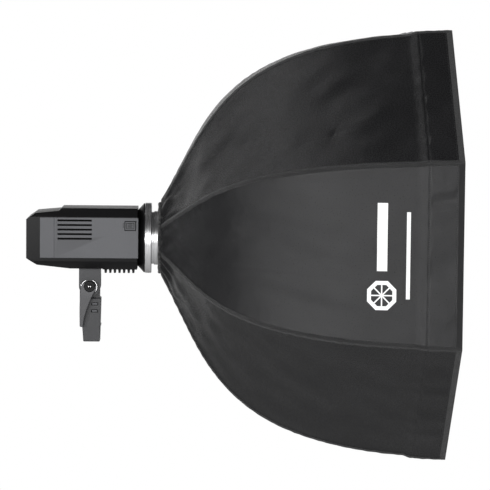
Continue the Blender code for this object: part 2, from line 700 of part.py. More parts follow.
# ---- fork under the head ----
EAR_R = 0.0192
fork_top = BOTTOM - GAP
ear = circle(EAR_R, TILT_X, TILT_Z, 25, math.pi, 2 * math.pi)
ear_view = [(TILT_X - EAR_R, fork_top), *ear, (TILT_X + EAR_R, fork_top)]
fork = plate(ear_view, -FORK_HALF, FORK_HALF)
throat = box((TILT_X - 0.05, -TONGUE_HALF - PLAY, TILT_Z - 0.05), (TILT_X + 0.05, TONGUE_HALF + PLAY, TILT_Z + 0.0195))
BOLT_R = 0.0040
fork_bore = disc(BOLT_R + GAP, -0.05, 0.05, 32, across=True)
fork_bore.location = (TILT_X, 0.0, TILT_Z)
smooth(keep(cut(fork, throat, fork_bore), "head_fork", DARK_PLASTIC))

# ---- tilt bracket, the fixed piece on the stand ----
BLOCK_TOP = TILT_Z - EAR_R - 0.0022
TONGUE_R = 0.0180
block_view = [(-0.0147, 0.0), (0.0147, 0.0), (0.0166, BLOCK_TOP), (-0.0205, BLOCK_TOP)]
block = plate(block_view, -FORK_HALF, FORK_HALF)
soften(block, 0.0015)
tongue_view = [(TILT_X - TONGUE_R, BLOCK_TOP - 0.004), (TILT_X + TONGUE_R, BLOCK_TOP - 0.004),
               *circle(TONGUE_R, TILT_X, TILT_Z, 25, 0.0, math.pi)]
tongue = plate(tongue_view, -TONGUE_HALF, TONGUE_HALF)
tongue_bore = disc(BOLT_R + GAP, -0.05, 0.05, 32, across=True)
tongue_bore.location = (TILT_X, 0.0, TILT_Z)
socket = disc(SOCKET_R, -0.01, SOCKET_DEPTH, 40)
CLAMP_Z = 0.026
clamp_bore = disc(0.0043, 0.0, 0.05, 24, across=True)
clamp_bore.location = (0.0, 0.0, CLAMP_Z)
recesses = [
    box((-0.001, -FORK_HALF - 0.01, BLOCK_TOP - drop - 0.0052), (0.0115, -FORK_HALF + 0.0020, BLOCK_TOP - drop))
    for drop in (0.0080, 0.0205)
]
join(block, tongue)
smooth(keep(cut(block, tongue_bore, socket, clamp_bore, *recesses), "tilt_bracket", DARK_PLASTIC))

BOLT_HEAD_R = 0.0097
bolt = turned([
    (0.0, FORK_HALF + 0.0020), (BOLT_R, FORK_HALF + 0.0020), (BOLT_R, -FORK_HALF - GAP),
    (BOLT_HEAD_R, -FORK_HALF - GAP), (BOLT_HEAD_R, -FORK_HALF - 0.0090), (BOLT_HEAD_R - 0.0010, -FORK_HALF - 0.0100),
    (0.0045, -FORK_HALF - 0.0100), (0.0045, -FORK_HALF - 0.0070), (0.0, -FORK_HALF - 0.0070),
], 40, closed=False)
smooth(keep(along_y(bolt, TILT_X, 0.0, TILT_Z), "tilt_bolt", BLACK_PLASTIC))


# ---- tilt lever ----
def lever_edge(share, way):
    """A point on one long edge of the lever, share from 0 at the bolt to 1 at the tip."""
    middle = (Vector((0.0, 0.004)) * (1 - share) ** 2 + 2 * share * (1 - share) * Vector((-0.0125, -0.032))
              + share ** 2 * Vector((-0.0145, -0.0725)))
    half = 0.0122 * (1 - share) ** 1.3 + 0.0028
    slope = Vector((-0.0165 + 0.004 * share, -0.070)).normalized()
    return middle + way * half * Vector((-slope.y, slope.x))


shares = [i / 9 for i in range(10)]
lever_view = [tuple(lever_edge(s, 1)) for s in shares] + [tuple(lever_edge(s, -1)) for s in reversed(shares)]
lever = plate(lever_view, -FORK_HALF - 0.0092, -FORK_HALF - 0.0012)
soften(lever, 0.0012)
cradle = disc(BOLT_HEAD_R + PLAY, -0.05, 0.05, 40, across=True)
for piece in (lever, cradle):
    piece.location = (TILT_X, 0.0, TILT_Z)
cut(lever, cradle)
smooth(keep(lever, "tilt_lever", GREY_PLASTIC))

# ---- stand clamp knob ----
knob = turned([
    (0.0, 0.0240), (0.0100, 0.0240), (0.0130, 0.0215), (0.0130, 0.0060), (0.0100, 0.0040), (0.0060, 0.0030),
    (0.0060, 0.0010), (0.0040, 0.0010), (0.0040, -FORK_HALF + SOCKET_R + 0.0010), (0.0, -FORK_HALF + SOCKET_R + 0.0010),
], 32, closed=False)
along_y(knob, 0.0, FORK_HALF, CLAMP_Z)
lobes = []
for n in range(5):
    lobe = disc(0.0040, 0.0065, 0.0210, 12)
    turn = 2 * math.pi * n / 5
    for v in lobe.data.vertices:
        v.co.x += 0.0118 * math.cos(turn)
        v.co.y += 0.0118 * math.sin(turn)
    lobes.append(along_y(lobe, 0.0, FORK_HALF, CLAMP_Z))
smooth(keep(join(knob, *lobes), "stand_knob", BLACK_PLASTIC))
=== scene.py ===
"""Looks of an octagonal umbrella softbox on a monolight head.

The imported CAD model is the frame. Its hard parts keep their shapes and get worked
materials. The fabric, cloths, seams and trim are made here, round the same lines.
X runs along the light's axis towards the open front, Z is up, lengths are metres.
"""
import math

import bmesh
import bpy
import numpy as np
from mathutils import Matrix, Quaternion, Vector


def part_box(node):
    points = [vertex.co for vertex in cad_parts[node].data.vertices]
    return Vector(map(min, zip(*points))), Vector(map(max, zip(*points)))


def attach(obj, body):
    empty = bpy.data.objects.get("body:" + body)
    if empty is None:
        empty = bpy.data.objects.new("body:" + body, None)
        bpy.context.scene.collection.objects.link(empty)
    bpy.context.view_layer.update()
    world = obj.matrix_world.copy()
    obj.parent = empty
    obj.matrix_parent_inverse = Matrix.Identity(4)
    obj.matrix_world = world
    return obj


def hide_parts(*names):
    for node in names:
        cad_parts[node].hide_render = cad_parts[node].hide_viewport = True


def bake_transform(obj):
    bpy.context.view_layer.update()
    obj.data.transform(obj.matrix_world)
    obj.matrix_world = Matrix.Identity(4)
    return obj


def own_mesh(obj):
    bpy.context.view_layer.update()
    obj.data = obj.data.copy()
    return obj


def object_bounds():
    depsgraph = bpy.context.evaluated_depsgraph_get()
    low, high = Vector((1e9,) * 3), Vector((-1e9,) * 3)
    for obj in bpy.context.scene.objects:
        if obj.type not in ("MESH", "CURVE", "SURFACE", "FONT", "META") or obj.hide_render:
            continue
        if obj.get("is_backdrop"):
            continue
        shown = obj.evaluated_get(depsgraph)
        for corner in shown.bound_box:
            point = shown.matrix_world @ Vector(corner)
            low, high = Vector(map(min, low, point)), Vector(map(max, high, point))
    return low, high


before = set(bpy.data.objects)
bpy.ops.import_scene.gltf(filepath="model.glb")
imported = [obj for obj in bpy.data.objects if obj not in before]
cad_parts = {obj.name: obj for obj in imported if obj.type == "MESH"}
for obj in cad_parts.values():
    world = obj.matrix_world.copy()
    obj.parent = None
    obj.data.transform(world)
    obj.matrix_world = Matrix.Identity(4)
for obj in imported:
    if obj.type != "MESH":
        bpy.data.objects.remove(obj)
cad_low, cad_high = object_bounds()

# ---- sizes shared with the CAD ----
RIB_COUNT = 8
RIM_R = 0.4015
DEPTH = 0.5006
BASE_SLOPE = math.radians(60.3)
RIM_SLOPE = math.radians(1.2)
LIP = 0.058
LIP_FLARE = 0.004
FABRIC = 0.0012
CUFF_R = 0.0603
BAFFLE_X = 0.300
BAFFLE_SHARE = 0.90
HUB_X = 0.0075
HALF_STEP = math.pi / RIB_COUNT
FLAT = math.cos(HALF_STEP)
SIDE = math.sin(HALF_STEP)
BASE_R = (CUFF_R + FABRIC) / FLAT
PANEL_RIM_R = RIM_R - LIP_FLARE

hub_low, hub_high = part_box("rib_hub")
AXIS_Z = (hub_low.z + hub_high.z) / 2
BACK_X = hub_low.x - HUB_X

# ---- sizes of the sewn work ----
CLOTH = 0.0009           # thickness of the black cloth with its lining
BINDING = 0.010          # tape folded over the front edge
HEM_X = DEPTH - LIP + 0.001
SEAM_REACH = 0.0052      # half width of the tape over a rib
SEAM_FILLET = 0.0042
STITCH = 0.0026
STITCH_PITCH = 0.0038


# ---- materials ----
def tree_of(name):
    """A new material, with its node tree and its shader."""
    made = bpy.data.materials.new(name)
    made.use_nodes = True
    return made, made.node_tree, made.node_tree.nodes["Principled BSDF"]


def node(tree, kind, inputs=None, **settings):
    """A node with its settings, and inputs that are values or other nodes' sockets."""
    made = tree.nodes.new(kind)
    for key, value in settings.items():
        setattr(made, key, value)
    for key, value in (inputs or {}).items():
        if isinstance(value, bpy.types.NodeSocket):
            tree.links.new(value, made.inputs[key])
        else:
            made.inputs[key].default_value = value
    return made


def maths(tree, operation, a, b=0.0):
    return node(tree, "ShaderNodeMath", {0: a, 1: b}, operation=operation).outputs[0]


def place(tree, kind="Object", stretch=(1.0, 1.0, 1.0)):
    coords = node(tree, "ShaderNodeTexCoord").outputs[kind]
    return node(tree, "ShaderNodeMapping", {"Vector": coords, "Scale": stretch}).outputs[0]


def noise(tree, vector, scale, detail=3.0, rough=0.55):
    settings = {"Vector": vector, "Scale": scale, "Detail": detail, "Roughness": rough}
    return node(tree, "ShaderNodeTexNoise", settings).outputs["Fac"]


def remap(tree, value, low, high, start=0.3, end=0.7):
    made = node(tree, "ShaderNodeMapRange", {
        "Value": value, "From Min": start, "From Max": end, "To Min": low, "To Max": high})
    return made.outputs[0]


def mix(tree, share, a, b):
    made = node(tree, "ShaderNodeMix", data_type="RGBA")
    for socket, value in ((made.inputs[0], share), (made.inputs[6], a), (made.inputs[7], b)):
        if isinstance(value, bpy.types.NodeSocket):
            tree.links.new(value, socket)
        elif socket == made.inputs[0]:
            socket.default_value = value
        else:
            socket.default_value = (*value, 1.0)
    return made.outputs[2]


def bump(tree, height, depth, below=None):
    inputs = {"Height": height, "Distance": depth, "Strength": 1.0}
    if below is not None:
        inputs["Normal"] = below
    return node(tree, "ShaderNodeBump", inputs).outputs[0]


def set_sockets(shader, values):
    for key, value in values.items():
        shader.inputs[key].default_value = value


def shade(colour, factor):
    return tuple(min(c * factor, 1.0) for c in colour)


def hard(name, colour, spread, roughness, rough_spread, grain, depth, stretch=(1, 1, 1), wear=0.0,
         blotch=14.0, **sockets):
    """A moulded, turned or drawn surface: mottled colour, fine grain, and paler worn edges."""
    made, tree, shader = tree_of(name)
    where = place(tree)
    fine = noise(tree, place(tree, stretch=stretch), grain, 4.0)
    broad = noise(tree, where, blotch, 3.0)
    painted = mix(tree, remap(tree, broad, 0.0, 1.0), shade(colour, 1 - spread), shade(colour, 1 + spread))
    if wear:
        edge = node(tree, "ShaderNodeNewGeometry").outputs["Pointiness"]
        worn = maths(tree, "MULTIPLY", remap(tree, edge, 0.0, wear, 0.51, 0.60), remap(tree, fine, 0.4, 1.0))
        painted = mix(tree, worn, painted, shade(colour, 3.0))
    tree.links.new(painted, shader.inputs["Base Color"])
    rough = remap(tree, fine, roughness - rough_spread, roughness + rough_spread)
    tree.links.new(rough, shader.inputs["Roughness"])
    tree.links.new(bump(tree, fine, depth), shader.inputs["Normal"])
    set_sockets(shader, sockets)
    return made


def weave_height(tree, pitch):
    """Height of a plain weave, from the cloth's own flat coordinates in metres."""
    flat = node(tree, "ShaderNodeSeparateXYZ", {0: place(tree, "UV")})
    turn = 2 * math.pi / pitch
    over = maths(tree, "SINE", maths(tree, "MULTIPLY", flat.outputs[0], turn))
    under = maths(tree, "SINE", maths(tree, "MULTIPLY", flat.outputs[1], turn))
    return maths(tree, "MULTIPLY", over, under), flat.outputs[0], flat.outputs[1]


def cloth(name, colour, spread, roughness, pitch, depth, crease=0.0, crease_scale=60.0, printed=None,
          **sockets):
    """Woven cloth: weave, soft mottling and creases, and a printed mark if one is asked for."""
    made, tree, shader = tree_of(name)
    weave, across, along = weave_height(tree, pitch)
    flat = place(tree, "UV")
    broad = noise(tree, flat, 9.0, 4.0)
    fine = noise(tree, flat, 420.0, 3.0)
    painted = mix(tree, remap(tree, broad, 0.0, 1.0), shade(colour, 1 - spread), shade(colour, 1 + spread))
    painted = mix(tree, remap(tree, fine, 0.0, 0.35), painted, shade(colour, 1.6))
    rough = remap(tree, fine, roughness - 0.05, roughness + 0.06)
    if printed is not None:
        mark = printed(tree, across, along)
        ink = mix(tree, remap(tree, fine, 0.0, 1.0), (0.80, 0.80, 0.80), (0.88, 0.88, 0.88))
        painted = mix(tree, mark, painted, ink)
        rough = maths(tree, "ADD", rough, maths(tree, "MULTIPLY", mark, 0.22))
    tree.links.new(painted, shader.inputs["Base Color"])
    tree.links.new(rough, shader.inputs["Roughness"])
    top = bump(tree, weave, depth)
    if crease:
        top = bump(tree, noise(tree, flat, crease_scale, 4.0, 0.5), crease, top)
    tree.links.new(top, shader.inputs["Normal"])
    set_sockets(shader, sockets)
    return made


def plain_mark(tree, across, along):
    """A generic printed mark: an eight-sided ring with its spokes, and two plain bars."""
    def bar(centre_u, half_u, centre_v, half_v):
        u = maths(tree, "ABSOLUTE", maths(tree, "SUBTRACT", across, centre_u))
        v = maths(tree, "ABSOLUTE", maths(tree, "SUBTRACT", along, centre_v))
        within_u = maths(tree, "LESS_THAN", u, half_u)
        return maths(tree, "MULTIPLY", within_u, maths(tree, "LESS_THAN", v, half_v))

    ring_u, ring_v = -0.0660, 0.1340
    u = maths(tree, "ABSOLUTE", maths(tree, "SUBTRACT", across, ring_u))
    v = maths(tree, "ABSOLUTE", maths(tree, "SUBTRACT", along, ring_v))
    reach = maths(tree, "MAXIMUM", maths(tree, "MAXIMUM", u, v),
                  maths(tree, "MULTIPLY", maths(tree, "ADD", u, v), math.sqrt(0.5)))
    inside = maths(tree, "LESS_THAN", reach, 0.0175)
    ring = maths(tree, "SUBTRACT", maths(tree, "LESS_THAN", reach, 0.0240), inside)
    diagonal = maths(tree, "ABSOLUTE", maths(tree, "SUBTRACT", u, v))
    slanted = maths(tree, "MULTIPLY", diagonal, math.sqrt(0.5))
    nearest = maths(tree, "MINIMUM", maths(tree, "MINIMUM", u, v), slanted)
    spokes = maths(tree, "MULTIPLY", maths(tree, "LESS_THAN", nearest, 0.0011), inside)
    marks = [ring, spokes, bar(0.0300, 0.0560, 0.1340, 0.0085), bar(0.0, 0.0715, 0.0910, 0.0032)]
    total = marks[0]
    for extra in marks[1:]:
        total = maths(tree, "MAXIMUM", total, extra)
    return total


NYLON_LOOK = {"Specular IOR Level": 0.24, "Sheen Weight": 0.02, "Sheen Roughness": 0.35}
NYLON = cloth("nylon_black", (0.0110, 0.0110, 0.0116), 0.20, 0.27, 0.00062, 0.00004, 0.0008, 40.0,
              **NYLON_LOOK)
# The panel facing the camera gets a lighter copy of the black nylon. The raised base colour is painted light
# from the key light; the mark on it is print.
LIT_MARKED_NYLON = cloth("nylon_print_painted_light", (0.0125, 0.0125, 0.0132), 0.20, 0.31, 0.00062, 0.00004, 0.0007, 40.0,
                printed=plain_mark, **NYLON_LOOK)
LINING = cloth("silver_lining", (0.62, 0.63, 0.64), 0.10, 0.34, 0.0009, 0.00008, 0.0012, 90.0, Metallic=0.85)
TAPE = cloth("binding_tape", (0.0085, 0.0085, 0.0090), 0.20, 0.55, 0.0011, 0.00022, 0.0002, 200.0,
             **{"Specular IOR Level": 0.35, "Sheen Weight": 0.15})
SEAM = cloth("seam_tape", (0.0090, 0.0090, 0.0095), 0.20, 0.38, 0.0009, 0.00014, 0.0006, 160.0,
             **{"Specular IOR Level": 0.42, "Sheen Weight": 0.10})
DIFFUSER = cloth("diffuser_cloth", (0.84, 0.84, 0.83), 0.02, 0.88, 0.00085, 0.00012, 0.0005, 30.0,
                 **{"Subsurface Weight": 0.15, "Subsurface Scale": 0.004, "Sheen Weight": 0.25})
HEM_WHITE = cloth("diffuser_hem", (0.76, 0.76, 0.75), 0.03, 0.85, 0.0014, 0.00025, 0.0004, 60.0,
                  **{"Sheen Weight": 0.3})
ELASTIC = cloth("cuff_elastic", (0.0100, 0.0100, 0.0105), 0.25, 0.46, 0.0016, 0.00035, 0.0008, 120.0,
                **{"Specular IOR Level": 0.40, "Sheen Weight": 0.2})
THREAD = hard("thread", (0.020, 0.020, 0.021), 0.25, 0.45, 0.10, 1500.0, 0.0001)

SATIN = hard("satin_plastic", (0.0060, 0.0060, 0.0064), 0.15, 0.34, 0.06, 900.0, 0.00006, wear=0.5,
             **{"Specular IOR Level": 0.08})
VOID = hard("slot_shadow", (0.0035, 0.0035, 0.0036), 0.10, 0.75, 0.10, 700.0, 0.00003,
            **{"Specular IOR Level": 0.04})
GREY = hard("grey_plastic_finish", (0.060, 0.061, 0.066), 0.06, 0.50, 0.07, 1100.0, 0.00010, wear=0.25,
            **{"Specular IOR Level": 0.30})
GREY_LEVER = hard("grey_lever_finish", (0.040, 0.040, 0.043), 0.08, 0.42, 0.07, 1100.0, 0.00008,
                  wear=0.5, **{"Specular IOR Level": 0.35})
DARK = hard("dark_plastic_finish", (0.026, 0.0265, 0.029), 0.10, 0.44, 0.08, 1000.0, 0.00010, wear=0.4,
            **{"Specular IOR Level": 0.32})
ALUMINIUM = hard("turned_aluminium", (0.70, 0.70, 0.71), 0.06, 0.30, 0.08, 24.0, 0.00005,
                 (60.0, 1.0, 1.0), Metallic=1.0)
STEEL = hard("drawn_steel", (0.56, 0.56, 0.57), 0.08, 0.30, 0.10, 400.0, 0.00003, (0.1, 1.0, 1.0),
             Metallic=1.0)
FIBRE = hard("fibreglass_rod", (0.022, 0.022, 0.021), 0.30, 0.34, 0.08, 500.0, 0.00006, (0.05, 1.0, 1.0))
CERAMIC = hard("ceramic_disc", (0.74, 0.73, 0.70), 0.04, 0.50, 0.10, 500.0, 0.00010)
CHROME = hard("bright_prong", (0.82, 0.82, 0.83), 0.04, 0.20, 0.06, 700.0, 0.00003, Metallic=1.0)
TUBE_GLASS = hard("tube_glass", (0.93, 0.94, 0.95), 0.03, 0.08, 0.04, 300.0, 0.00003,
                  **{"Transmission Weight": 0.85, "IOR": 1.46})
LAMP_GLASS = hard("lamp_glass_finish", (0.95, 0.92, 0.84), 0.03, 0.32, 0.06, 500.0, 0.00005,
                  **{"Transmission Weight": 0.45, "IOR": 1.48})
SCREEN = hard("screen_glass", (0.010, 0.013, 0.016), 0.20, 0.09, 0.03, 40.0, 0.00001, **{"Coat Weight": 0.6})

FINISH = {
    "head_shell": SATIN, "front_ring": ALUMINIUM, "speed_ring": ALUMINIUM, "tube_socket": CERAMIC,
    "modelling_lamp": LAMP_GLASS, "flash_tube": TUBE_GLASS, "side_panel_near": GREY, "side_panel_far": GREY,
    "rear_panel": DARK, "display_window": SCREEN, "control_dial": SATIN, "toothed_rail": SATIN,
    "bayonet_release": DARK, "head_fork": DARK, "tilt_bracket": DARK, "tilt_bolt": SATIN,
    "tilt_lever": GREY_LEVER, "stand_knob": SATIN, "rib_hub": SATIN, "shaft_bridge": SATIN,
    "umbrella_shaft": STEEL, "runner": DARK,
}
FINISH.update({f"key_{n}": GREY for n in (1, 2, 3)})
FINISH.update({f"rib_{n}": FIBRE for n in range(1, RIB_COUNT + 1)})
FINISH.update({f"stay_{n}": STEEL for n in range(1, RIB_COUNT + 1)})
EDGE_ROUND = {"head_shell": 0.0020, "side_panel_near": 0.0004, "side_panel_far": 0.0004, "rear_panel": 0.0010,
              "toothed_rail": 0.0005, "head_fork": 0.0009, "tilt_bracket": 0.0006}
FLAT_FACED = set(EDGE_ROUND) | {"display_window", "bayonet_release", "tilt_lever"}

for name, finish in FINISH.items():
    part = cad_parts[name]
    for slot in range(max(1, len(part.data.materials))):
        if part.data.materials:
            part.data.materials[slot] = finish
        else:
            part.data.materials.append(finish)
    for old in ("custom_normal", "sharp_edge"):
        if old in part.data.attributes:
            part.data.attributes.remove(part.data.attributes[old])
    part.data.shade_smooth()
    weld = part.modifiers.new("weld", "WELD")
    weld.merge_threshold = 0.00002
    if name in EDGE_ROUND:
        rounded = part.modifiers.new("rounded", "BEVEL")
        rounded.width = EDGE_ROUND[name]
        rounded.segments = 3
        rounded.limit_method = "ANGLE"
        rounded.angle_limit = math.radians(28)
    split = part.modifiers.new("split", "EDGE_SPLIT")
    split.split_angle = math.radians(9 if name in FLAT_FACED else 30)


# ---- the rib's curve, by length along the cloth ----
def curve_point(t):
    """Axial place and corner radius of the cloth, t from 0 at the back edge to 1 at the rim."""
    start = np.array([0.0023, BASE_R])
    end = np.array([DEPTH, PANEL_RIM_R])
    first = start + 0.343 * DEPTH * np.array([math.cos(BASE_SLOPE), math.sin(BASE_SLOPE)])
    last = end - 0.817 * DEPTH * np.array([math.cos(RIM_SLOPE), math.sin(RIM_SLOPE)])
    s = 1 - t
    x, r = s ** 3 * start + 3 * s * s * t * first + 3 * s * t * t * last + t ** 3 * end
    rise = min(max((x - (DEPTH - LIP)) / (0.3 * LIP) + 1, 0.0), 1.0)
    return x, r + LIP_FLARE * rise * rise * (3 - 2 * rise)


CURVE = np.array([curve_point(i / 1200) for i in range(1201)])
CURVE_S = np.concatenate([[0.0], np.cumsum(np.linalg.norm(np.diff(CURVE, axis=0), axis=1))])
LENGTH = CURVE_S[-1]


def curve_at(s):
    """x, corner radius and the slope angle of the cloth at length s from the back edge."""
    x, r = np.interp(s, CURVE_S, CURVE[:, 0]), np.interp(s, CURVE_S, CURVE[:, 1])
    ahead, behind = np.clip(s + 0.002, 0, LENGTH), np.clip(s - 0.002, 0, LENGTH)
    dx = np.interp(ahead, CURVE_S, CURVE[:, 0]) - np.interp(behind, CURVE_S, CURVE[:, 0])
    dr = (np.interp(ahead, CURVE_S, CURVE[:, 1]) - np.interp(behind, CURVE_S, CURVE[:, 1])) * FLAT
    return x, r, np.arctan2(dr, dx)


def length_at(x):
    """Length along the cloth where it is x from its back edge."""
    return float(np.interp(x, CURVE[:, 0], CURVE_S))


def smooth(v):
    v = np.clip(v, 0.0, 1.0)
    return v * v * (3 - 2 * v)


def ripple(u, v, seed, waves=7):
    """A smooth wandering field about zero, the same on every run."""
    random = np.random.default_rng(seed)
    total = 0.0
    for _ in range(waves):
        turn = random.uniform(0, math.pi)
        pace = random.uniform(0.6, 1.5)
        phase = random.uniform(0, 2 * math.pi)
        total = total + np.sin(2 * math.pi * pace * (u * math.cos(turn) + v * math.sin(turn)) + phase)
    return total / math.sqrt(waves)


# ---- the black cloth ----
def lift(j, s, w):
    """How far the cloth of panel j stands out from its flat, at length s and place w across it."""
    x, r, _ = curve_at(s)
    half = r * SIDE
    c = np.clip(w / half, -1, 1)
    to_seam = np.maximum(half - np.abs(w), 0.0)
    free = 1 - c ** 4
    sag = -0.0012 if j == 0 else 0.0032
    out = -sag * (1 - c * c) * np.sin(math.pi * np.clip(s / LENGTH, 0, 1)) ** 0.8
    broad = ripple(w / 0.15, s / 0.19, 11 + j) * smooth(s / 0.1) * smooth((DEPTH - x) / 0.03)
    out = out + 0.0013 * free * broad
    out = out + 0.00055 * free * ripple(w / 0.050, s / 0.085, 31 + j) * smooth((DEPTH - LIP - x) / 0.05)
    folds = np.sin(2 * math.pi * (1.2 * c + 0.13 * j) + 20 * s + 1.1 * ripple(w / 0.06, s / 0.08, 51 + j, 4))
    out = out + 0.0024 * free * np.exp(-(s / 0.075) ** 1.6) * smooth(s / 0.008) * folds
    creases = np.sin(2 * math.pi * 1.5 * c + 1.7 * j + 2.2 * ripple(w / 0.2, s / 0.2, 71 + j, 4))
    out = out + 0.0009 * free * np.exp(-(s / 0.24) ** 2) * smooth(s / 0.05) * creases
    in_lip = smooth((x - HEM_X) / 0.006) * smooth((DEPTH - BINDING - x) / 0.006)
    wander = 0.9 * ripple(w / 0.12, x / 0.3, 91 + j, 4)
    strength = 0.6 + 0.4 * ripple(w / 0.07, x / 0.2, 111 + j, 4)
    out = out + 0.0013 * free * in_lip * strength * np.sin(2 * math.pi * w / 0.056 + 1.1 * j + wander)
    before = smooth((HEM_X - x) / 0.004) * np.exp(-np.maximum(HEM_X - x, 0) / 0.022)
    out = out + 0.0006 * free * before * np.sin(2 * math.pi * w / 0.037 + 2.0 * j + wander)
    out = out - 0.0007 * np.exp(-((x - HEM_X) / 0.0020) ** 2)
    pucker = np.sin(2 * math.pi * s / 0.023 + 1.4 * ripple(s / 0.06, w / 0.3, 131 + j, 5) + j)
    out = out + 0.0003 * np.exp(-to_seam / 0.011) * smooth(to_seam / 0.002) * pucker * smooth(s / 0.05)
    if j == 7:
        out = out + star(s - length_at(0.290), w + 0.47 * 0.135)
    if j == 6:
        line = w + 0.30 * half
        ends = smooth((x - 0.05) / 0.05) * smooth((0.30 - x) / 0.10)
        out = out - 0.0007 * np.exp(-(line / 0.0022) ** 2) * ends
    return out


def star(ds, dw):
    """A pinched point with short creases running away from it."""
    reach = np.hypot(ds, dw)
    out = -0.0016 * np.exp(-reach / 0.010)
    for turn, size in ((0.2, 0.060), (1.1, 0.034), (1.9, 0.045), (2.7, 0.030)):
        square = ds * math.sin(turn) - dw * math.cos(turn)
        out = out - 0.0008 * np.exp(-(square / 0.0022) ** 2) * np.exp(-reach / size)
    return out


def panel_axes(j):
    """The middle of panel j: its outward direction, and the direction across it."""
    middle = 2 * HALF_STEP * j
    return (np.array([0.0, math.sin(middle), math.cos(middle)]),
            np.array([0.0, math.cos(middle), -math.sin(middle)]))


def on_panel(j, s, w, raised=0.0):
    """The point of panel j at length s and place w across it."""
    outward, across = panel_axes(j)
    x, r, slope = curve_at(s)
    rounding = np.clip((w / (r * SIDE)) ** 2, 0, 1) * BASE_R * (1 - FLAT) * (1 - smooth(s / 0.022)) * 0.8
    height = lift(j, s, w) + raised
    normal = -np.sin(slope)[..., None] * np.array([1.0, 0.0, 0.0]) + np.cos(slope)[..., None] * outward
    flat = (BACK_X + x)[..., None] * np.array([1.0, 0.0, 0.0]) + (r * FLAT - rounding)[..., None] * outward
    centre = np.array([0.0, 0.0, AXIS_Z])
    return centre + flat + w[..., None] * across + height[..., None] * normal


def grid_normals(points):
    along = np.gradient(points, axis=0)
    across = np.gradient(points, axis=1)
    normal = np.cross(along, across)
    return normal / np.maximum(np.linalg.norm(normal, axis=2, keepdims=True), 1e-12)


def shell(name, outer, normal, thick, flat, finishes, zone=None, lined=None):
    """A closed thin sheet from a grid of outer points, with its flat coordinates kept as UVs.

    zone gives the finish of each row of faces outside, and lined the same inside.
    """
    rows, columns = outer.shape[:2]
    thick = np.broadcast_to(np.asarray(thick, float), (rows, columns))
    inner = outer - normal * thick[..., None]
    count = rows * columns
    index = np.arange(count).reshape(rows, columns)
    i, j = np.meshgrid(np.arange(rows - 1), np.arange(columns - 1), indexing="ij")
    i, j = i.ravel(), j.ravel()
    top = np.stack([index[i, j], index[i + 1, j], index[i + 1, j + 1], index[i, j + 1]], axis=1)
    bottom = top[:, ::-1] + count
    edges = [index[:, 0][::-1], index[0, :], index[:, -1], index[-1, :][::-1]]
    sides = np.concatenate([
        np.stack([e[:-1], e[1:], e[1:] + count, e[:-1] + count], axis=1) for e in edges])
    faces = np.concatenate([top, bottom, sides])
    vertices = np.concatenate([outer.reshape(-1, 3), inner.reshape(-1, 3)])
    mesh = bpy.data.meshes.new(name)
    mesh.from_pydata(vertices.tolist(), [], faces.tolist())
    both = np.concatenate([normal.reshape(-1, 3), -normal.reshape(-1, 3)])
    corner = both[faces]
    corner[2 * len(top):] = 0.0
    mesh.shade_smooth()
    smooth_faces = np.ones(len(faces), bool)
    smooth_faces[2 * len(top):] = False
    mesh.polygons.foreach_set("use_smooth", smooth_faces)
    mesh.normals_split_custom_set(corner.reshape(-1, 3).tolist())
    layer = mesh.uv_layers.new(name="cloth")
    doubled = np.concatenate([flat.reshape(-1, 2), flat.reshape(-1, 2)])
    layer.data.foreach_set("uv", doubled[faces].astype(np.float32).ravel())
    for finish in finishes:
        mesh.materials.append(finish)
    slots = np.zeros(len(faces), int)
    if zone is not None:
        slots[:len(top)] = np.asarray(zone)[i]
    if lined is not None:
        slots[len(top):2 * len(top)] = np.asarray(lined)[i]
    mesh.polygons.foreach_set("material_index", slots)
    obj = bpy.data.objects.new(name, mesh)
    bpy.context.scene.collection.objects.link(obj)
    return obj


def rib_angle(k):
    return HALF_STEP + 2 * HALF_STEP * k


def bend(piece):
    """Bakes a half panel piece's placement into its mesh."""
    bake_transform(piece)


def stitches(name, places, finish, long=STITCH, wide=0.00042, high=0.00034):
    """Short raised threads. Each place is a point, the way the thread runs, and the way it stands out."""
    vertices, faces = [], []
    shape = ((-0.5, 0, -0.3), (-0.25, 1, 0), (-0.25, 0, 1), (-0.25, -1, 0), (-0.25, 0, -1),
             (0.25, 1, 0), (0.25, 0, 1), (0.25, -1, 0), (0.25, 0, -1), (0.5, 0, -0.3))
    quads = ((1, 5, 6, 2), (2, 6, 7, 3), (3, 7, 8, 4), (4, 8, 5, 1))
    ends = ((0, 1, 2), (0, 2, 3), (0, 3, 4), (0, 4, 1), (9, 6, 5), (9, 7, 6), (9, 8, 7), (9, 5, 8))
    for point, run, out in places:
        run = run / np.linalg.norm(run)
        side = np.cross(out, run)
        base = len(vertices)
        for a, b, c in shape:
            vertices.append(point + run * a * long + side * b * wide + out * c * high)
        faces += [tuple(base + q for q in f) for f in (*quads, *ends)]
    mesh = bpy.data.meshes.new(name)
    mesh.from_pydata([tuple(v) for v in vertices], [], faces)
    mesh.shade_smooth()
    mesh.materials.append(finish)
    obj = bpy.data.objects.new(name, mesh)
    bpy.context.scene.collection.objects.link(obj)
    return obj


# rows are closer together at the hem, the binding and the cuff, where the cloth changes fast
hem_s, binding_s = length_at(HEM_X), length_at(DEPTH - BINDING)
extra = [hem_s + d for d in (-0.005, -0.003, -0.0015, 0.0, 0.0015, 0.003, 0.005)]
extra += [binding_s - 0.0006, binding_s + 0.0004, LENGTH - 0.0008]
extra += [0.0015 * i for i in range(1, 12)]
ROWS = np.array(sorted(set(np.round(np.concatenate([np.linspace(0, LENGTH, 132), extra]), 6))))
ROWS = ROWS[np.concatenate([[True], np.diff(ROWS) > 0.0003])]
ROWS[-1] = LENGTH
COLUMNS = 30
share = np.linspace(0, 1, COLUMNS + 1)
ACROSS = np.concatenate([-(1 - (1 - share[::-1]) ** 1.35), (1 - (1 - share[1:]) ** 1.35)])

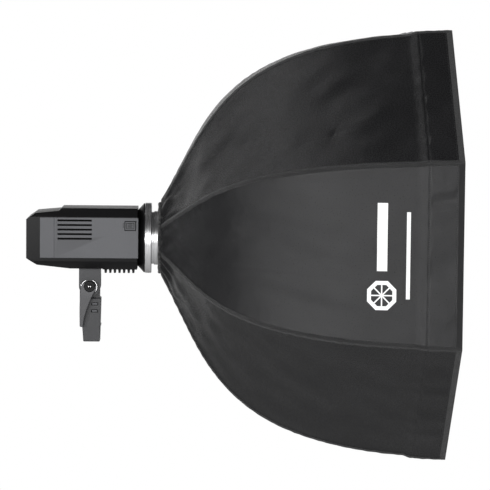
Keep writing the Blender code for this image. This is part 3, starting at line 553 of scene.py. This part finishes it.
for j in range(RIB_COUNT):
    s, c = np.meshgrid(ROWS, ACROSS, indexing="ij")
    x, r, _ = curve_at(s)
    w = c * (r * SIDE - 0.0003)
    taped = smooth((s - binding_s) / 0.0007) * 0.00055
    points = on_panel(j, s, w, taped)
    normal = grid_normals(points)
    flat = np.stack([w, LENGTH - s], axis=2)
    row_x = curve_at(ROWS[:-1] / 2 + ROWS[1:] / 2)[0]
    halves = (("a", j, slice(COLUMNS, None)), ("b", (j - 1) % RIB_COUNT, slice(0, COLUMNS + 1)))
    for tag, k, columns in halves:
        # Panel 6 faces the camera: its lighter nylon is painted light, and it carries the printed mark.
        black = LIT_MARKED_NYLON if j == 6 else NYLON
        zone = np.where(row_x > DEPTH - BINDING, 2, 0)
        lined = np.where(row_x > DEPTH - LIP, 0, 1)
        lined = np.where(row_x > DEPTH - BINDING, 2, lined)
        name = f"cloth_{k + 1}{tag}"
        piece = shell(name, points[:, columns], normal[:, columns], CLOTH + 2 * taped[:, columns],
                      flat[:, columns], [black, LINING, TAPE], zone, lined)
        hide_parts(f"panel_{k + 1}{tag}")
        bend(piece)
        places = []
        outward, across = panel_axes(j)
        way = 1 if tag == "a" else -1
        for row_s in (hem_s, binding_s - 0.0022):
            reach = float(curve_at(np.array(row_s))[1]) * SIDE - 0.004
            steps = np.arange(STITCH_PITCH / 2, reach, STITCH_PITCH) * way
            spot = on_panel(j, np.full(len(steps), row_s), steps, 0.0001)
            slope = float(curve_at(np.array(row_s))[2])
            out = -math.sin(slope) * np.array([1.0, 0, 0]) + math.cos(slope) * outward
            places += [(p, across, out) for p in spot]
        sewn = stitches(f"hem_stitch_{k + 1}{tag}", places, THREAD)
        bend(sewn)


# ---- seams over the ribs ----
def seam_section(k, s, pull):
    """Points across the tape over rib k at length s, from one panel over the corner to the next."""
    tangent_reach = SEAM_FILLET * math.tan(HALF_STEP)
    reach = SEAM_REACH + pull
    spots = []
    for j, sign in ((k, 1), ((k + 1) % RIB_COUNT, -1)):
        half = curve_at(s)[1] * SIDE
        row = [on_panel(j, s, sign * (half - d), 0.00045) for d in (reach, (reach + tangent_reach) / 2)]
        row.append(on_panel(j, s, sign * (half - tangent_reach), 0.0007))
        spots.append(row)
    left, right = spots[0], spots[1][::-1]
    middle = []
    for q in (0.25, 0.5, 0.75):
        straight = left[-1] * (1 - q) + right[0] * q
        angle = rib_angle(k)
        up = np.array([0.0, math.sin(angle), math.cos(angle)])
        slope = curve_at(s)[2]
        normal = -np.sin(slope)[..., None] * np.array([1.0, 0, 0]) + np.cos(slope)[..., None] * up
        middle.append(straight + normal * (0.00062 * (1 - (2 * q - 1) ** 2) + 0.0001))
    return left + middle + right


for k in range(RIB_COUNT):
    s = np.linspace(0.004, LENGTH - 0.0003, 300)
    pull = 0.0004 * ripple(s / 0.04, s * 0, 200 + k)
    section = seam_section(k, s, pull)
    points = np.stack(section, axis=1)
    puffed = 0.00025 * np.maximum(ripple(s / 0.022, s * 0 + 0.3, 220 + k), -0.6) * smooth(s / 0.05)
    normal = grid_normals(points)
    bulge = np.array([0.0, 0.2, 0.7, 1.0, 1.2, 1.0, 0.7, 0.2, 0.0])
    points = points + normal * (puffed[:, None] * bulge[None, :])[..., None]
    normal = grid_normals(points)
    steps = np.linalg.norm(np.diff(points, axis=1), axis=2)
    across = np.cumsum(np.concatenate([np.zeros((len(s), 1)), steps], axis=1), axis=1)
    flat = np.stack([across, np.broadcast_to(s[:, None], across.shape)], axis=2)
    seam = shell(f"seam_{k + 1}", points, normal, 0.0005, flat, [SEAM])
    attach(seam, f"rib_{k + 1}")
    places = []
    for column, other in ((1, 0), (7, 8)):
        spot = np.arange(0.012, LENGTH - 0.012, STITCH_PITCH)
        for value in spot:
            row = int(np.searchsorted(s, value))
            run = points[row + 1, column] - points[row - 1, column]
            centre = (points[row, column] * 0.6 + points[row, other] * 0.4)
            places.append((centre + normal[row, column] * 0.0001, run, normal[row, column]))
    sewn = stitches(f"seam_stitch_{k + 1}", places, THREAD)
    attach(sewn, f"rib_{k + 1}")


# ---- white cloths across the axis ----
def cross_cloth(node_name, prefix, x_at, edge_gap, hem, flange, finish, dome):
    """Sixteen half sectors of a flat cloth, each riding its half panel and gathering to its edge."""
    s_edge = length_at(x_at)
    radius = float(curve_at(np.array(s_edge))[1])
    reach = (radius * FLAT - edge_gap) if node_name == "front_diffuser" else radius * BAFFLE_SHARE * FLAT
    tangent = math.tan(HALF_STEP)
    notch = 0.0085 if node_name == "front_diffuser" else 0.0
    held = node_name == "front_diffuser"

    def edge_height(j, x, w):
        """How far from the axis the black cloth of panel j leaves room, at x and across it."""
        at = np.full(w.shape, length_at(x))
        return curve_at(at)[1] * FLAT + lift(j, at, w) - CLOTH - 0.0012

    made = []
    for j in range(RIB_COUNT):
        outward, across = panel_axes(j)
        for tag, k, way in (("a", j, 1), ("b", (j - 1) % RIB_COUNT, -1)):
            h = np.concatenate([np.linspace(0.0004, reach - hem - 0.003, 40),
                                reach - hem + np.array([-0.0015, 0.0, 0.0015]),
                                np.linspace(reach - hem + 0.004, reach, 8)])
            q = np.linspace(0, 1, 22)
            height, part = np.meshgrid(h, q, indexing="ij")
            corner = notch * np.clip((height - reach) / 0.006 + 1, 0, 1)
            limit = np.minimum(height * tangent, reach * tangent - corner)
            w = part * limit * way
            if held:
                height = height + (edge_height(j, x_at, w) - reach) * (height / reach) ** 6
            y = outward[1] * height + across[1] * w
            z = outward[2] * height + across[2] * w
            turn = np.arctan2(y, z)
            tight = np.sin(26 * turn + 1.5 * np.sin(3 * turn + 1.0)) * np.exp(-(reach - height) / 0.035)
            ease = 0.0008 * ripple(y / 0.19, z / 0.19, 301) * smooth((reach - height) / 0.05)
            bulge = dome * (1 - (height / reach) ** 2) + ease + 0.00045 * tight
            bulge = bulge - 0.0005 * np.exp(-((height - (reach - hem)) / 0.0016) ** 2)
            x = BACK_X + x_at + bulge
            points = np.stack([x, y, AXIS_Z + z], axis=2)
            if flange:
                turned_in = np.linspace(0, 1, 5)[1:]
                rows = []
                for step in turned_in:
                    row = points[-1].copy()
                    row[:, 0] += flange * step
                    out_now = (row - [0.0, 0.0, AXIS_Z]) @ outward
                    row += outward * (edge_height(j, x_at + flange * step, w[-1]) - out_now)[:, None]
                    rows.append(row)
                points = np.concatenate([points, np.array(rows)])
                turned = np.repeat(turned_in[:, None], 22, axis=1)
                height = np.concatenate([height, height[-1:] + flange * turned])
                w = np.concatenate([w, np.repeat(w[-1:], len(turned_in), axis=0)])
            if way > 0:
                normal = -grid_normals(points)
                points, normal = points[:, ::-1], normal[:, ::-1]
                flat = np.stack([w, height], axis=2)[:, ::-1]
            else:
                normal = grid_normals(points)
                flat = np.stack([w, height], axis=2)
            row_height = np.append(h[1:], np.full(len(points) - len(h), reach))
            zone = np.where(row_height > reach - hem + 0.0001, 1, 0)
            name = f"{prefix}_{k + 1}{tag}"
            piece = shell(name, points, normal, 0.0006, flat, [finish, HEM_WHITE], zone, zone)
            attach(piece, f"panel_{k + 1}{tag}")
            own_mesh(piece)
            made.append(piece)
    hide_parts(node_name)
    return made


cross_cloth("front_diffuser", "diffuser", DEPTH - LIP, 0.0016, 0.016, 0.010, DIFFUSER, 0.0015)
cross_cloth("inner_baffle", "baffle", BAFFLE_X, 0.0, 0.012, 0.0, DIFFUSER, 0.0)

# ---- gathered cuff round the speed ring ----
turn, q = np.meshgrid(np.linspace(0, 2 * math.pi, 433), np.linspace(0, 2 * math.pi, 15), indexing="ij")
gather = 0.00055 * np.sin(46 * turn + 0.8 * np.sin(5 * turn)) + 0.00025 * np.sin(19 * turn + 1.0)
radius = 0.0610 + (0.0022 + gather) * np.sin(q)
along = 0.0016 + 0.0033 * np.cos(q) + 0.0004 * np.sin(13 * turn)
cuff_points = np.stack([BACK_X + along, radius * np.sin(turn), AXIS_Z + radius * np.cos(turn)], axis=2)


def closed_tube(name, points, finish, uv_scale=(0.06, 0.002)):
    """A ring whose rows and columns both close on themselves."""
    rows, columns = points.shape[0] - 1, points.shape[1] - 1
    index = np.arange(rows * columns).reshape(rows, columns)
    i, j = np.meshgrid(np.arange(rows), np.arange(columns), indexing="ij")
    i, j = i.ravel(), j.ravel()
    faces = np.stack([index[i, j], index[(i + 1) % rows, j], index[(i + 1) % rows, (j + 1) % columns],
                      index[i, (j + 1) % columns]], axis=1)
    mesh = bpy.data.meshes.new(name)
    mesh.from_pydata(points[:-1, :-1].reshape(-1, 3).tolist(), [], faces.tolist())
    layer = mesh.uv_layers.new(name="cloth")
    corner_i = np.stack([i, i + 1, i + 1, i], axis=1) * 2 * math.pi / rows * uv_scale[0]
    corner_j = np.stack([j, j, j + 1, j + 1], axis=1) * 2 * math.pi / columns * uv_scale[1]
    layer.data.foreach_set("uv", np.stack([corner_i, corner_j], axis=2).astype(np.float32).ravel())
    mesh.shade_smooth()
    mesh.materials.append(finish)
    bm = bmesh.new()
    bm.from_mesh(mesh)
    bmesh.ops.recalc_face_normals(bm, faces=bm.faces)
    bm.to_mesh(mesh)
    bm.free()
    obj = bpy.data.objects.new(name, mesh)
    bpy.context.scene.collection.objects.link(obj)
    return obj


cuff = closed_tube("gathered_cuff", cuff_points, ELASTIC)
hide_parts("rear_cuff")
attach(cuff, "core")

# ---- small trim on the hard parts ----
VENT_COUNT = 5
VENT_PITCH = 0.0080
VENT_DROP = 0.0050           # first vent below the side panel's top edge
LABEL_SIZE = (0.0200, 0.0170)
LABEL_INSET = (0.0240, 0.0054)
PRONG_REACH = 0.0122         # bright strips from the bolt's axis
STEM_DROP = 0.0214           # stem's top below the bolt's axis
SLOT_DROPS = (0.0080, 0.0205)


def trim(name, make, finish, body):
    """A small hard piece, made by calls on a mesh under construction."""
    bm = bmesh.new()
    make(bm)
    mesh = bpy.data.meshes.new(name)
    bm.to_mesh(mesh)
    bm.free()
    mesh.materials.append(finish)
    obj = bpy.data.objects.new(name, mesh)
    bpy.context.scene.collection.objects.link(obj)
    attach(obj, body)
    return obj


def block(bm, low, high):
    made = bmesh.ops.create_cube(bm, size=1.0)["verts"]
    for v in made:
        v.co = Vector([(a + b) / 2 + c * (b - a) for a, b, c in zip(low, high, v.co)])


def button(bm, centre, radius, low_y, high_y, sides=24):
    """A short cylinder along Y with a softened near edge."""
    made = bmesh.ops.create_cone(bm, cap_ends=True, segments=sides, radius1=radius, radius2=radius * 0.9,
                                 depth=high_y - low_y)["verts"]
    for v in made:
        v.co = Vector((centre[0] + v.co.x, (low_y + high_y) / 2 - v.co.z, centre[1] + v.co.y))


for tag, way in (("near", -1), ("far", 1)):
    low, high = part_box(f"side_panel_{tag}")
    face = (low.y if way < 0 else high.y) - way * 0.0008
    back_y = face - way * 0.0020
    label_x, label_top = high.x - LABEL_INSET[0], high.z - LABEL_INSET[1]

    def slots(bm):
        for n in range(VENT_COUNT):
            z = high.z - VENT_DROP - VENT_PITCH * n
            first, last = sorted((back_y - way * 0.0002, back_y + way * 0.0006))
            block(bm, (low.x + 0.0309, first, z - 0.0015), (low.x + 0.0907, last, z + 0.0015))

    def frame_lines(bm):
        first, last = sorted((face + way * 0.0005, face + way * 0.0012))
        x0, x1, z0, z1 = label_x, label_x + LABEL_SIZE[0], label_top - LABEL_SIZE[1], label_top
        for inset, wide in ((0.0, 0.0012), (0.0032, 0.0007)):
            a, b, c, d = x0 + inset, x1 - inset, z0 + inset, z1 - inset
            block(bm, (a, first, c), (b, last, c + wide))
            block(bm, (a, first, d - wide), (b, last, d))
            block(bm, (a, first, c + wide), (a + wide, last, d - wide))
            block(bm, (b - wide, first, c + wide), (b, last, d - wide))
        for n in range(4):
            z = z0 + 0.0052 + 0.0022 * n
            block(bm, (x0 + 0.0056, first, z), (x1 - 0.0056 - 0.0012 * (n % 2), last, z + 0.0007))
            block(bm, (x0 - 0.0028, first, z + 0.0003), (x0 - 0.0014, last, z + 0.0011))

    trim(f"vent_shadow_{tag}", slots, VOID, "head")
    trim(f"label_frame_{tag}", frame_lines, VOID, "head")

bolt_low, bolt_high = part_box("tilt_bolt")
bolt_x, bolt_z = (bolt_low.x + bolt_high.x) / 2, (bolt_low.z + bolt_high.z) / 2
trim("bolt_core", lambda bm: button(bm, (bolt_x, bolt_z), 0.0042, bolt_low.y + 0.0012, bolt_low.y + 0.0034),
     SATIN, "bracket")


def bolt_pins(bm):
    for side in (-1, 1):
        button(bm, (bolt_x + side * 0.0017, bolt_z), 0.0010, bolt_low.y + 0.0006, bolt_low.y + 0.0016, 12)


trim("bolt_pins", bolt_pins, CHROME, "bracket")


def prong(bm, side):
    """A bright strip beside the bolt's head, in front of it or behind it, curved round it."""
    lever_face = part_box("tilt_lever")[0].y
    steps = 10
    sections = []
    for n in range(steps + 1):
        q = n / steps
        angle = math.radians(62 - 105 * q) if side > 0 else math.radians(118 + 62 * q)
        reach = PRONG_REACH + 0.0016 * q * (1.0 if side > 0 else 1.6)
        x, z = bolt_x + reach * math.cos(angle), bolt_z + reach * math.sin(angle)
        wide = 0.0011 * math.sin(math.pi * (0.12 + 0.80 * q))
        radial = Vector((math.cos(angle), 0.0, math.sin(angle))) * wide
        centre = Vector((x, lever_face - 0.0002, z))
        raised = Vector((0.0, -0.0006, 0.0))
        around = (radial, radial * 0.4 + raised, -radial * 0.4 + raised, -radial, Vector((0.0, 0.0012, 0.0)))
        sections.append([bm.verts.new(centre + offset) for offset in around])
    for a, b in zip(sections, sections[1:]):
        for i in range(5):
            bm.faces.new((a[i], a[(i + 1) % 5], b[(i + 1) % 5], b[i]))
    bm.faces.new(sections[0][::-1])
    bm.faces.new(sections[-1])
    bmesh.ops.recalc_face_normals(bm, faces=bm.faces)


trim("lever_prong_front", lambda bm: prong(bm, 1), CHROME, "lever")
trim("lever_prong_rear", lambda bm: prong(bm, -1), CHROME, "lever")

stem_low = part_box("tilt_bracket")[0]
stem_top = bolt_z - STEM_DROP


def slot_inserts(bm):
    for drop in SLOT_DROPS:
        z = stem_top - drop
        block(bm, (0.0005, stem_low.y + 0.0010, z - 0.0040), (0.0100, stem_low.y + 0.0023, z - 0.0012))


def slot_backs(bm):
    for drop in SLOT_DROPS:
        z = stem_top - drop
        block(bm, (-0.0009, stem_low.y + 0.0017, z - 0.0051), (0.0114, stem_low.y + 0.0022, z - 0.0001))


trim("stem_inserts", slot_inserts, GREY, "bracket")
trim("stem_shadow", slot_backs, VOID, "bracket")

# ---- stage, light and camera ----
FLOOR_Z = -1.35
bm = bmesh.new()
bmesh.ops.create_circle(bm, cap_ends=True, segments=96, radius=5.2)
mesh = bpy.data.meshes.new("floor")
bm.to_mesh(mesh)
bm.free()
floor = bpy.data.objects.new("floor", mesh)
floor.location = (0.25, 0.0, FLOOR_Z)
bpy.context.scene.collection.objects.link(floor)
paper, tree, shader = tree_of("pale_floor")
tone = noise(tree, place(tree), 1.5, 2.0)
tree.links.new(mix(tree, tone, (0.84, 0.84, 0.84), (0.88, 0.88, 0.88)), shader.inputs["Base Color"])
shader.inputs["Roughness"].default_value = 0.9
set_sockets(shader, {"Emission Color": (0.90, 0.90, 0.90, 1.0), "Emission Strength": 0.02})
mesh.materials.append(paper)
floor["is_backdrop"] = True

world = bpy.data.worlds.new("studio")
world.use_nodes = True
bpy.context.scene.world = world
tree = world.node_tree
sky = tree.nodes["Background"]
direction = node(tree, "ShaderNodeSeparateXYZ", {0: node(tree, "ShaderNodeTexCoord").outputs["Generated"]})
dimmed = node(tree, "ShaderNodeMapRange", {
    "Value": direction.outputs[2], "From Min": 0.16, "From Max": 0.42, "To Min": 1.0, "To Max": 0.06},
    interpolation_type="SMOOTHSTEP").outputs[0]
beside = node(tree, "ShaderNodeMapRange", {
    "Value": direction.outputs[0], "From Min": -0.35, "From Max": -0.80, "To Min": 1.0, "To Max": 0.22},
    interpolation_type="SMOOTHSTEP").outputs[0]
white_share = maths(tree, "MULTIPLY", dimmed, beside)
tree.links.new(mix(tree, white_share, (0.0, 0.0, 0.0), (1.0, 1.0, 1.0)), sky.inputs["Color"])
sky.inputs["Strength"].default_value = 1.0


def softlight(name, at, to, size, power):
    data = bpy.data.lights.new(name, "AREA")
    data.shape = "RECTANGLE"
    data.size, data.size_y = size
    data.energy = power
    made = bpy.data.objects.new(name, data)
    made.location = at
    made.rotation_mode = "QUATERNION"
    made.rotation_quaternion = (Vector(at) - Vector(to)).to_track_quat("Z", "Y")
    made.visible_camera = False
    bpy.context.scene.collection.objects.link(made)
    return made


middle = (cad_low + cad_high) / 2
softlight("front_light", (-1.2, -3.4, 0.45), middle, (4.4, 0.8), 140.0)
softlight("top_strip", (-1.10, 0.42, 2.05), middle, (0.50, 1.5), 14.0)
softlight("face_light", (3.4, -0.8, 1.1), middle, (2.2, 1.8), 22.0)

AZIMUTH, ELEVATION, ROLL = math.radians(-1.66), math.radians(4.35), math.radians(0.56)
target = Vector((0.2724, 0.0, 0.1733))
level = math.cos(ELEVATION)
back = Vector((math.sin(AZIMUTH) * level, -math.cos(AZIMUTH) * level, math.sin(ELEVATION)))
data = bpy.data.cameras.new("camera")
data.sensor_width = 36.0
data.lens = 171.7
data.clip_end = 100.0
camera = bpy.data.objects.new("camera", data)
camera.location = target + back * 4.1755
camera.rotation_mode = "QUATERNION"
camera.rotation_quaternion = back.to_track_quat("Z", "Y") @ Quaternion((0.0, 0.0, 1.0), ROLL)
bpy.context.scene.collection.objects.link(camera)
bpy.context.scene.camera = camera
bpy.context.scene.view_settings.view_transform = "Standard"

low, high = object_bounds()
